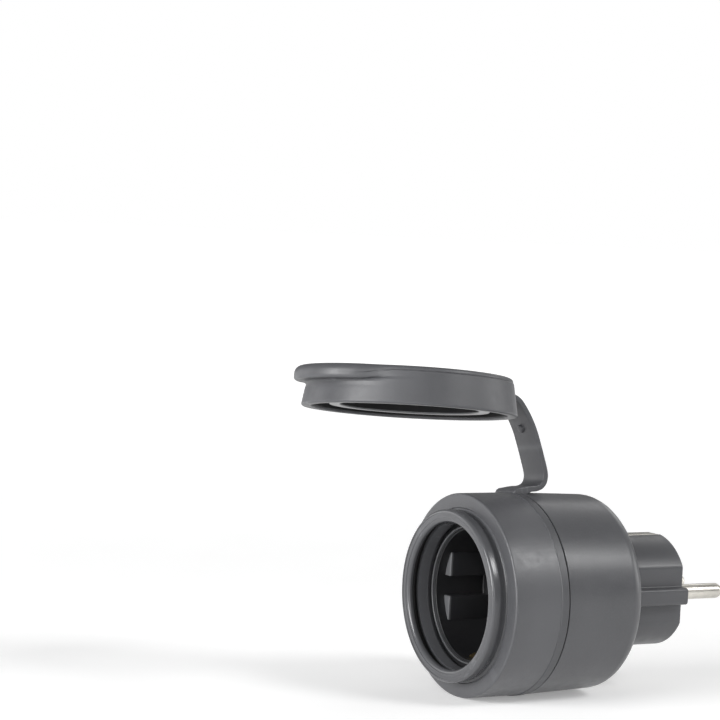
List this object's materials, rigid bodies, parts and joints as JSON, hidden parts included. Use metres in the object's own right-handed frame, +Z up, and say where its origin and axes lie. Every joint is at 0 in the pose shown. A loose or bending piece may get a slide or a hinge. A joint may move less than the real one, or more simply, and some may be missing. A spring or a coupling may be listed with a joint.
{
  "type": "smart plug",
  "caption": "Round outdoor smart plug: mains adapter with a shuttered socket under a rubber lid on a strap, electronics inside and a two-pin earthed plug behind.",
  "frame": {"origin": "middle of the plug's end face, on the body's axis", "axes": "+Y along the pins, away from the body; -Y is the way the socket opens; +Z up, towards the lid's strap; X across the two pins"},
  "size_m": [0.0699, 0.1461, 0.1018],
  "materials": {
    "shell_grey": "fine matt moulded grey",
    "rim_grey": "semi-gloss grey",
    "rubber_grey": "matt grey elastomer",
    "plastic_black": "satin black",
    "rubber_black": "matt black",
    "plastic_white": "satin white",
    "plastic_clear": "clear polished",
    "metal_nickel": "nickel plated",
    "metal_brass": "bright",
    "metal_steel": "bright",
    "wire_copper": "enamelled copper",
    "board_green": "solder mask",
    "plastic_blue": "satin blue",
    "tape_yellow": "tape",
    "ferrite_dark": "sintered"
  },
  "bodies": {
    "housing": {"socket_collar": "rim_grey", "rim_gasket": "rubber_black", "front_sleeve": "shell_grey", "rear_housing": "shell_grey", "housing_seal": "rubber_black", "strap_ring": "rubber_grey", "socket_insert": "plastic_black", "earth_clip_top": "metal_brass", "earth_clip_bottom": "metal_brass", "earth_bridge": "metal_brass", "shutter_spring": "metal_steel", "contact_carrier": "plastic_white", "live_contact": "metal_brass", "neutral_contact": "metal_brass", "main_board": "board_green", "board_screw_1": "metal_steel", "board_screw_2": "metal_steel", "transformer_core": "ferrite_dark", "transformer_coil": "tape_yellow", "bulk_capacitor": "plastic_black", "output_capacitor": "plastic_black", "varistor": "plastic_blue", "fuse": "plastic_white", "wifi_board": "board_green", "wifi_shield": "metal_nickel", "relay_cover": "plastic_blue", "relay_coil": "wire_copper", "side_board": "board_green", "tact_switch": "plastic_black", "status_led": "plastic_white", "light_guide": "plastic_clear", "plug_body": "shell_grey", "pin_live": "metal_nickel", "pin_neutral": "metal_nickel", "earth_strip_top": "metal_nickel", "earth_strip_bottom": "metal_nickel", "earth_sleeve": "metal_nickel", "live_wire": "wire_copper", "neutral_wire": "plastic_blue", "earth_wire": "tape_yellow"},
    "strap": {"strap_arm": "rubber_grey"},
    "lid": {"lid_shell": "rubber_grey", "lid_seal": "rubber_black"},
    "shutter": {"shutter": "plastic_white"},
    "armature": {"relay_armature": "metal_steel"},
    "button": {"button_cap": "rubber_grey"}
  },
  "joints": [
    {"name": "strap_fold", "type": "hinge", "parent": "housing", "child": "strap", "pos_m": [-0.00329, -0.0538, 0.02801], "axis": [0.9932, 0, 0.1167], "range_deg": [0, 76.1], "stiffness_Nm_per_rad": 0.15},
    {"name": "lid_flex", "type": "hinge", "parent": "strap", "child": "lid", "pos_m": [-0.00694, -0.0548, 0.05909], "axis": [0.9932, 0, 0.1167], "range_deg": [0, 18.4], "stiffness_Nm_per_rad": 0.25},
    {"name": "shutter_slide", "type": "slide", "parent": "housing", "child": "shutter", "axis": [0, 0, -1], "range_m": [0, 0.0055], "stiffness_N_per_m": 60, "deforming": ["shutter_spring"]},
    {"name": "relay_pull", "type": "hinge", "parent": "housing", "child": "armature", "pos_m": [0.007, -0.0436, 0.0145], "axis": [0, 0, -1], "range_deg": [0, 3], "stiffness_Nm_per_rad": 0.01},
    {"name": "button_press", "type": "slide", "parent": "housing", "child": "button", "axis": [1, 0, 0], "range_m": [0, 0.0008], "stiffness_N_per_m": 500}
  ]
}
